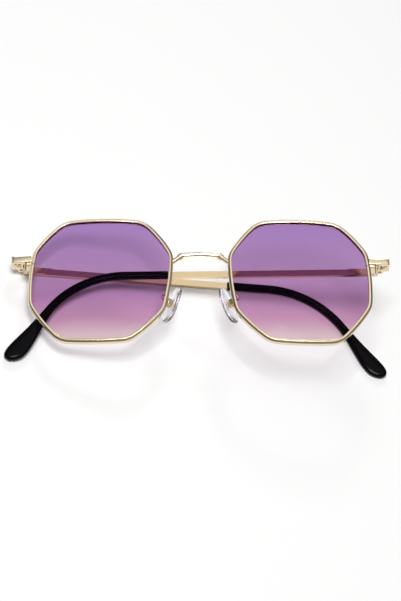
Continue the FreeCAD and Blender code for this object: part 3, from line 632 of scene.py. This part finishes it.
@dataclass
class Rims:
    """The two wire rims, each a grooved band cut once at the rim lock."""

    outline: LensOutline
    finishes: Finishes
    width: float = 1.3
    depth: float = 2.2
    front_lip: float = 0.3
    crease: float = 0.07
    split_up: float = 6.5
    split_gap: float = 0.25
    wrap: float = 2.1
    eye_centre: float = 35.55
    # corners of the section as shares: out from the lens, and forward from the rim's back
    section: tuple[Point, ...] = ((0.0, 1.0), (0.46, 1.0), (0.58, 0.95), (1.0, 0.76), (1.0, 0.0),
                                  (0.0, 0.0), (0.0, 0.2), (0.38, 0.2), (0.38, 0.8), (0.0, 0.8))
    # bounds of a band that is swept the right way round: least reach, and its front's place
    least_reach: float = 25.0
    front_level: float = -1.6
    front_play: float = 0.3

    def eye_matrix(self, side: Side) -> Matrix:
        """Return one lens's frame in the front's."""
        return (Matrix.Translation((side.value * self.eye_centre, 0, 0))
                @ rotation(side.value * self.wrap, "Y"))

    def path(self, side: Side) -> list[Vector]:
        """Lay the open line that the band follows, the same way round on both sides.

        Args:
            side: The rim's side.

        Returns:
            The points from just past the split at the rim lock round to just before it.
        """
        temporal = 20
        ring = self.outline.points(side, 0.0)
        if side is Side.LEFT:
            ring.reverse()
        following = ring[1:] + ring[:1]
        cut = next(i for i, (here, ahead) in enumerate(zip(ring, following))
                   if side.value * here.x > temporal
                   and (here.y - self.split_up) * (ahead.y - self.split_up) <= 0)
        here, ahead = ring[cut], following[cut]
        middle = here.lerp(ahead, (self.split_up - here.y) / (ahead.y - here.y))
        half = (ahead - here).normalized() * self.split_gap / 2
        flat = [middle + half] + ring[cut + 1:] + ring[:cut + 1] + [middle - half]
        depth = self.depth - self.front_lip
        return [self.outline.dome(spot, depth) for spot in flat]

    def build(self) -> None:
        """Sweep both rims and let them stand for the CAD rims."""
        tree = SweptProfile("rim_band", self.section)
        for side in Side:
            name = f"rim_band_{side.word}"
            path = self.path(side)
            mesh = tree.run(name, path, {
                "Profile Width": self.width, "Profile Depth": -self.depth,
                "Corner Radius": self.crease, "Corner Points": 2,
                "Finish": self.finishes.front_gold})
            self.face_outwards(mesh, side)
            mesh.transform(FRONT @ self.eye_matrix(side))
            tidy_mesh(mesh)
            rim = smooth_object(name, mesh)
            if not mesh.materials:
                mesh.materials.append(self.finishes.front_gold)
            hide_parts(f"rim_{side.word}")
            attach(rim, "front")
            LOG.info("%s: %d faces", name, len(mesh.polygons))

    def face_outwards(self, mesh: bpy.types.Mesh, side: Side) -> None:
        """Check that the band lies outside the opening and behind the lens's front.

        Args:
            mesh: The swept band.
            side: The rim's side.
        """
        widest = max(abs(corner.co.x) for corner in mesh.vertices)
        front = max(corner.co.z for corner in mesh.vertices)
        LOG.info("rim band %s: reach %.2f, front %.2f", side.word, widest, front)
        if widest < self.least_reach or abs(front - self.front_level) > self.front_play:
            raise ValueError(f"rim band {side.word} is turned over: reach {widest}, front {front}")


@dataclass
class Lenses:
    """Domed tinted lenses whose edge sits in the rims' grooves."""

    outline: LensOutline
    rims: Rims
    finishes: Finishes
    thickness: float = 1.6
    rings: int = 12
    edge_reach: float = 0.4
    edge_inset: float = 0.35
    play: float = 0.03
    tight_ring: float = 0.997
    bottom: float = -23.4
    top: float = 23.4
    map_width: float = 50.0

    def build(self) -> None:
        """Make both lenses and let them stand for the CAD lenses."""
        for side in Side:
            mesh = self.shell(side)
            mesh.transform(FRONT @ self.rims.eye_matrix(side))
            name = f"tinted_lens_{side.word}"
            lens = smooth_object(name, mesh)
            mesh.materials.append(self.finishes.tint)
            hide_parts(f"lens_{side.word}")
            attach(lens, "front")
            LOG.info("%s: %d faces", name, len(mesh.polygons))

    def shell(self, side: Side) -> bpy.types.Mesh:
        """Build one lens as a closed shell with its height map.

        Args:
            side: The lens's side.

        Returns:
            The mesh on the lens's own axes.
        """
        shell = bmesh.new()
        flat = self.outline.points(side, -self.play)
        steps = [1.0, self.tight_ring] + [step / self.rings for step in range(self.rings - 1, 0, -1)]
        levels = []
        for depth, shares in ((0.0, steps), (self.thickness, steps[::-1])):
            for share in shares:
                spots = [self.outline.dome(spot * share, depth) for spot in flat]
                levels.append([shell.verts.new(spot) for spot in spots])
        edge = self.outline.points(side, self.edge_reach)
        tongues = [[shell.verts.new(self.outline.dome(spot, depth)) for spot in edge]
                   for depth in (self.thickness - self.edge_inset, self.edge_inset)]
        front_edge, back_edge = levels[0], levels[-1]
        count = len(levels) // 2
        bands = list(zip(levels[:count], levels[1:count]))
        bands += list(zip(levels[count:], levels[count + 1:]))
        bands += [(back_edge, tongues[0]), (tongues[0], tongues[1]), (tongues[1], front_edge)]
        for one, other in bands:
            skin_rings(shell, one, other)
        for ring, depth in ((levels[count - 1], 0.0), (levels[count], self.thickness)):
            close_ring(shell, ring, self.outline.dome(Vector((0, 0)), depth))
        bmesh.ops.recalc_face_normals(shell, faces=shell.faces)
        height = shell.loops.layers.uv.new("height")
        for face in shell.faces:
            for corner in face.loops:
                spot = corner.vert.co
                share = (spot.y - self.bottom) / (self.top - self.bottom)
                corner[height].uv = (spot.x / self.map_width + 0.5, share)
        return finish_shell(shell, f"tinted_lens_{side.word}")


@dataclass
class Endpieces:
    """Lugs that turn from the rims back to the hinges, with softened edges."""

    # distances outwards and forward of the hinge axis, and levels along it
    finishes: Finishes
    root: float = -4.3
    outer: float = 3.3
    inner: float = 2.1
    front: float = 5.7
    slope: float = 0.6
    back: float = 3.8
    butt: float = 0.15
    overlap: float = 0.6
    strip: Point = (-1.65, 0.6)
    leg: Point = (-1.45, 1.45)
    corner: float = 1.1
    softening: float = 0.16
    sharp_angle: float = 40.0

    def band(self) -> list[Point]:
        """Draw the lug's outline seen from above, with its rounded outer corner.

        Returns:
            Corners as distance outwards and distance forward of the hinge axis.
        """
        hub = (self.outer - self.corner, self.front - self.slope - self.corner)
        turn = [(hub[0] + self.corner * math.sin(angle), hub[1] + self.corner * math.cos(angle))
                for angle in (math.radians(15 * step) for step in range(7))]
        return [(self.root, self.front)] + turn + [(self.outer, self.back), (self.root, self.back)]

    def prism(self, shell: bmesh.types.BMesh, outline: Sequence[Point], heights: Point,
              side: Side) -> None:
        """Add a closed prism.

        Args:
            shell: The mesh under construction.
            outline: Corners as distance outwards and distance forward of the hinge axis.
            heights: Lowest and highest level along the hinge axis.
            side: The side of the glasses.
        """
        rings = [[shell.verts.new((side.value * out, level, ahead)) for out, ahead in outline]
                 for level in heights]
        low, high = rings
        shell.faces.new(low)
        shell.faces.new(list(reversed(high)))
        for i in range(len(low)):
            following = (i + 1) % len(low)
            shell.faces.new((low[i], high[i], high[following], low[following]))

    def build(self) -> None:
        """Make both lugs and let them stand for the CAD endpieces."""
        for side in Side:
            shell = bmesh.new()
            self.prism(shell, self.band(), self.strip, side)
            top = self.back + self.overlap
            leg = [(self.inner, self.butt), (self.outer, self.butt), (self.outer, top),
                   (self.inner, top)]
            self.prism(shell, leg, self.leg, side)
            bmesh.ops.recalc_face_normals(shell, faces=shell.faces)
            sharp = [edge for edge in shell.edges
                     if edge.calc_face_angle(0.0) > math.radians(self.sharp_angle)]
            bmesh.ops.bevel(shell, geom=sharp, offset=self.softening, segments=3, profile=0.5,
                            affect="EDGES")
            name = f"endpiece_lug_{side.word}"
            mesh = finish_shell(shell, name)
            mesh.transform(FRONT @ PLACE.hinge_matrix(side))
            tidy_mesh(mesh)
            lug = smooth_object(name, mesh)
            mesh.materials.append(self.finishes.front_gold)
            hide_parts(f"endpiece_{side.word}")
            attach(lug, "front")
            LOG.info("%s: %d faces", name, len(mesh.polygons))


@dataclass
class EarTips:
    """Glossy ear tips: a sleeve that bends down and widens to a paddle."""

    finishes: Finishes
    start: float = 76.5
    bend_start: float = 92.0
    bend_radius: float = 33.0
    bend_angle: float = 57.0
    height: float = 3.0
    thickness: float = 2.6
    outer_face: float = 3.65
    paddle: float = 24.1
    # share of the paddle's length, half heights to the outside and the inside of the bend
    widths: tuple[tuple[float, float, float], ...] = (
        (0.0, 1.0, 1.0), (0.2, 1.2, 1.3), (0.42, 1.55, 1.85), (0.6, 1.95, 2.25), (0.74, 2.25, 2.4),
        (0.84, 2.35, 2.15), (0.915, 2.25, 1.6), (0.965, 1.9, 0.8), (0.99, 1.5, 0.2),
        (1.0, 1.0, -0.2))
    paddle_steps: tuple[float, ...] = (
        0.08, 0.16, 0.24, 0.32, 0.4, 0.48, 0.56, 0.64, 0.71, 0.78, 0.84, 0.89, 0.93, 0.96, 0.98,
        0.992, 1.0)
    # distance from the mouth of the sleeve, and the share of its full size there
    mouth: tuple[Point, ...] = ((0.0, 0.80), (0.12, 0.92), (0.4, 1.0))
    sleeve_steps: int = 26
    thinning_start: float = 0.955
    thinning_length: float = 0.047
    least_thickness: float = 0.02
    fullness: float = 0.85
    around: int = 36

    @property
    def straight(self) -> float:
        """Length of the sleeve before its bend."""
        return self.bend_start - self.start

    @property
    def arc(self) -> float:
        """Length of the bend."""
        return math.radians(self.bend_angle) * self.bend_radius

    def centre(self, run: float) -> tuple[Vector, Vector]:
        """Follow the sleeve's middle.

        Args:
            run: Distance from the mouth.

        Returns:
            The point there and the direction to the outside of the bend.
        """
        straight, arc = self.straight, self.arc
        if run <= straight:
            return Vector((self.start + run, 0)), Vector((0, 1))
        angle = min(run - straight, arc) / self.bend_radius
        out = Vector((math.sin(angle), math.cos(angle)))
        hub = Vector((self.bend_start, -self.bend_radius))
        spot = hub + out * self.bend_radius
        past = max(run - straight - arc, 0.0)
        return spot + Vector((math.cos(angle), -math.sin(angle))) * past, out

    def reach(self, share: float) -> tuple[float, float]:
        """Look up the paddle's size.

        Args:
            share: How far down the paddle, as a share of its length.

        Returns:
            Its half heights to the outside and the inside of the bend, as shares.
        """
        for (low, up_0, down_0), (high, up_1, down_1) in zip(self.widths, self.widths[1:]):
            if share <= high:
                part = (share - low) / (high - low)
                return up_0 + (up_1 - up_0) * part, down_0 + (down_1 - down_0) * part
        return self.widths[-1][1:]

    def stations(self) -> list[tuple[Vector, Vector, float, float, float]]:
        """List the sections down the tip.

        Returns:
            Centre, way to the outside, reach to the outside and the inside, and half thickness.
        """
        half, thick = self.height / 2, self.thickness / 2
        sleeve = self.straight + self.arc
        rows = []
        for run, share in self.mouth:
            spot, out = self.centre(run)
            rows.append((spot, out, half * share, half * share, thick * share))
        lip = self.mouth[-1][0]
        for step in range(1, self.sleeve_steps + 1):
            spot, out = self.centre(lip + (sleeve - lip) * step / self.sleeve_steps)
            rows.append((spot, out, half, half, thick))
        for share in self.paddle_steps:
            spot, out = self.centre(sleeve + self.paddle * share)
            up, down = self.reach(share)
            rows.append((spot, out, half * up, half * down, thick * self.edge_share(share)))
        return rows

    def edge_share(self, share: float) -> float:
        """Thin the paddle towards its end.

        Args:
            share: How far down the paddle, as a share of its length.

        Returns:
            The share of the full thickness there.
        """
        if share <= self.thinning_start:
            return 1.0
        past = (share - self.thinning_start) / self.thinning_length
        return min(1.0, math.sqrt(max(1.0 - past ** 2, self.least_thickness)))

    def section(self, angle: float) -> Point:
        """Return a point of the rounded section, as shares of its half height and thickness."""
        high, deep = math.cos(angle), math.sin(angle)
        return (math.copysign(abs(high) ** self.fullness, high),
                math.copysign(abs(deep) ** self.fullness, deep))

    def shell(self, side: Side) -> bmesh.types.BMesh:
        """Build one tip as a closed shell.

        Args:
            side: The temple's side.

        Returns:
            The mesh under construction, on the temple's own axes.
        """
        shell = bmesh.new()
        middle = self.outer_face - self.thickness / 2
        rings = []
        for spot, out, up, down, thick in self.stations():
            ring = []
            for step in range(self.around):
                high, deep = self.section(2 * math.pi * step / self.around)
                place = spot + out * ((up - down) / 2 + high * (up + down) / 2)
                level = side.value * (middle + deep * thick)
                ring.append(shell.verts.new((place.x, place.y, level)))
            rings.append(ring)
        for one, other in zip(rings, rings[1:]):
            skin_rings(shell, one, other)
        for ring in (rings[0], rings[-1]):
            close_ring(shell, ring, sum((corner.co for corner in ring), Vector()) / len(ring))
        bmesh.ops.recalc_face_normals(shell, faces=shell.faces)
        return shell

    def build(self) -> None:
        """Make both tips and let them stand for the CAD tips."""
        for side in Side:
            name = f"ear_tip_{side.word}"
            mesh = finish_shell(self.shell(side), name)
            mesh.transform(FRONT @ PLACE.temple_matrix(side))
            tidy_mesh(mesh)
            tip = smooth_object(name, mesh)
            mesh.materials.append(self.finishes.black)
            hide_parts(f"temple_tip_{side.word}")
            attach(tip, f"temple_{side.word}")
            LOG.info("%s: %d faces", name, len(mesh.polygons))


@dataclass
class NosePads:
    """Soft clear pads: a crowned drop with a thick rounded rim."""

    finishes: Finishes
    across: float = 10.6
    down: float = 7.4
    back: float = 6.36
    frontal: float = 18.0
    splay: float = 33.0
    length: float = 14.6
    width: float = 7.4
    narrowing: float = 0.6
    thickness: float = 2.0
    side_fullness: float = 0.62
    end_fullness: float = 0.8
    around: int = 56
    # share of the outline, and height as a share of the thickness
    profile: tuple[Point, ...] = (
        (0.0, 0.04), (0.45, 0.03), (0.78, 0.0), (0.92, 0.06), (0.985, 0.2), (1.0, 0.42),
        (0.985, 0.62), (0.93, 0.8), (0.8, 0.92), (0.55, 0.985), (0.3, 1.0), (0.0, 1.0))

    def matrix(self, side: Side) -> Matrix:
        """Return one pad's frame in the front's."""
        return (Matrix.Translation((side.value * self.across, -self.down, -self.back))
                @ rotation(side.value * self.frontal, "Z")
                @ rotation(-side.value * (90 + self.splay), "Y"))

    def edge(self, angle: float) -> Vector:
        """Follow the drop-shaped outline.

        Args:
            angle: The direction from the pad's middle, in radians.

        Returns:
            The point of the outline.
        """
        cosine, sine = math.cos(angle), math.sin(angle)
        across = math.copysign(abs(cosine) ** self.side_fullness, cosine) * self.width / 2
        along = math.copysign(abs(sine) ** self.end_fullness, sine) * self.length / 2
        slim = 1 - self.narrowing / self.width * (1 + along / (self.length / 2))
        return Vector((across * slim, along))

    def shell(self) -> bmesh.types.BMesh:
        """Build one pad as a closed shell.

        Returns:
            The mesh under construction, on the pad's own axes.
        """
        shell = bmesh.new()
        outline = [self.edge(2 * math.pi * step / self.around) for step in range(self.around)]
        rings = []
        for share, height in self.profile[1:-1]:
            level = height * self.thickness
            spots = [spot * share for spot in outline]
            rings.append([shell.verts.new((spot.x, spot.y, level)) for spot in spots])
        for one, other in zip(rings, rings[1:]):
            skin_rings(shell, one, other)
        for ring, (_, height) in ((rings[0], self.profile[0]), (rings[-1], self.profile[-1])):
            close_ring(shell, ring, Vector((0, 0, height * self.thickness)))
        bmesh.ops.recalc_face_normals(shell, faces=shell.faces)
        return shell

    def build(self) -> None:
        """Make both pads and let them stand for the CAD pads."""
        for side in Side:
            name = f"soft_pad_{side.word}"
            mesh = finish_shell(self.shell(), name)
            mesh.transform(FRONT @ self.matrix(side))
            piece = smooth_object(name, mesh)
            mesh.materials.append(self.finishes.clear)
            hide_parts(f"nose_pad_{side.word}")
            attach(piece, f"pad_{side.word}")
            LOG.info("%s: %d faces", name, len(mesh.polygons))


@dataclass(frozen=True)
class Lamp:
    """A soft square lamp that points at the glasses, in metres and watts."""

    name: str
    spot: Vector
    size: float
    power: float

    def hang(self) -> None:
        """Put the lamp into the scene."""
        data = bpy.data.lights.new(self.name, "AREA")
        data.size = self.size
        data.energy = self.power
        lamp = bpy.data.objects.new(self.name, data)
        bpy.context.scene.collection.objects.link(lamp)
        turn = (-self.spot).to_track_quat("-Z", "Y")
        lamp.matrix_world = Matrix.LocRotScale(self.spot, turn, None)


@dataclass(frozen=True)
class Studio:
    """Camera, lights and table of the photograph."""

    # the camera's place over the front: degrees, and millimetres in the front's frame
    tilt: float = 27.4
    roll: float = 0.35
    distance: float = 650.0
    focal_length: float = 110.2
    aim: Vector = Vector((0.1, -9.3, 0.0))
    table_half: float = 3.0
    table_white: Colour = (0.94, 0.94, 0.94)
    table_lift: float = 0.05
    # sine of the height over the horizon, and the sky's colour there
    sky: tuple[tuple[float, Colour], ...] = (
        (0.08, (0.10, 0.095, 0.09)), (0.86, (1.0, 1.0, 1.0)), (0.60, (0.30, 0.28, 0.26)))
    sky_strength: float = 0.26
    mirrored_sky_strength: float = 0.95
    lamps: tuple[Lamp, ...] = (
        Lamp("key_lamp", Vector((-0.12, -0.16, 1.0)), 0.40, 8.4),
        Lamp("edge_lamp", Vector((0.05, 0.90, 0.60)), 0.20, 2.0))

    def add_camera(self) -> None:
        """Look down on the front, from nearer its lower edge than straight above."""
        data = bpy.data.cameras.new("photo_camera")
        data.lens = self.focal_length
        data.clip_start = 0.01
        camera = bpy.data.objects.new("photo_camera", data)
        bpy.context.scene.collection.objects.link(camera)
        local = Matrix.Translation(self.aim) @ rotation(self.tilt, "X") @ rotation(self.roll, "Z")
        place = FRONT @ local @ Matrix.Translation((0, 0, self.distance))
        spot, turn, _ = place.decompose()
        camera.matrix_world = Matrix.LocRotScale(spot, turn, None)
        bpy.context.scene.camera = camera

    def add_table(self) -> None:
        """Lay a plain white table under the glasses."""
        mesh = bpy.data.meshes.new("table")
        half = self.table_half
        mesh.from_pydata([(-half, -half, 0), (half, -half, 0), (half, half, 0), (-half, half, 0)],
                         [], [(0, 1, 2, 3)])
        table = bpy.data.objects.new("table", mesh)
        bpy.context.scene.collection.objects.link(table)
        shader = Shader("white_table")
        matt = shader.node("ShaderNodeBsdfDiffuse", Color=(*self.table_white, 1.0))
        lift = shader.node("ShaderNodeEmission", Color=(1.0, 1.0, 1.0, 1.0))
        path = shader.node("ShaderNodeLightPath")
        seen = shader.node("ShaderNodeMath", operation="MAXIMUM")
        shader.link(path.outputs["Is Camera Ray"], seen.inputs[0])
        shader.link(path.outputs["Is Transmission Ray"], seen.inputs[1])
        shader.link(shader.spread(seen.outputs["Value"], 0.0, self.table_lift),
                    lift.inputs["Strength"])
        both = shader.node("ShaderNodeAddShader")
        shader.link(matt.outputs["BSDF"], both.inputs[0])
        shader.link(lift.outputs["Emission"], both.inputs[1])
        mesh.materials.append(shader.finished(both))

    def light(self) -> None:
        """Light the table from above, and the upper edges from behind."""
        world = bpy.data.worlds.new("studio_air")
        world.use_nodes = True
        tree = world.node_tree
        sky = tree.nodes["Background"]
        place = tree.nodes.new("ShaderNodeTexCoord")
        parts = tree.nodes.new("ShaderNodeSeparateXYZ")
        ramp = tree.nodes.new("ShaderNodeValToRGB")
        (low, low_colour), (high, high_colour), (between, between_colour) = self.sky
        stops = ramp.color_ramp.elements
        stops[0].position, stops[0].color = low, (*low_colour, 1.0)
        stops[1].position, stops[1].color = high, (*high_colour, 1.0)
        stops.new(between).color = (*between_colour, 1.0)
        tree.links.new(place.outputs["Generated"], parts.inputs["Vector"])
        tree.links.new(parts.outputs["Z"], ramp.inputs["Fac"])
        tree.links.new(ramp.outputs["Color"], sky.inputs["Color"])
        path = tree.nodes.new("ShaderNodeLightPath")
        brighter = tree.nodes.new("ShaderNodeMapRange")
        brighter.inputs["To Min"].default_value = self.sky_strength
        brighter.inputs["To Max"].default_value = self.mirrored_sky_strength
        tree.links.new(path.outputs["Is Glossy Ray"], brighter.inputs["Value"])
        tree.links.new(brighter.outputs["Result"], sky.inputs["Strength"])
        bpy.context.scene.world = world
        for lamp in self.lamps:
            lamp.hang()
        bpy.context.scene.view_settings.view_transform = "Standard"

    def build(self) -> None:
        """Set up everything that isn't the object."""
        self.add_camera()
        self.add_table()
        self.light()


def main() -> None:
    """Dress the frame and light it."""
    logging.basicConfig(level=logging.INFO)
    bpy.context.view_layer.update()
    finishes = Finishes()
    finishes.dress_nodes()
    outline = LensOutline()
    rims = Rims(outline, finishes)
    rims.build()
    Lenses(outline, rims, finishes).build()
    Endpieces(finishes).build()
    EarTips(finishes).build()
    NosePads(finishes).build()
    Studio().build()


if __name__ == "__main__":
    main()
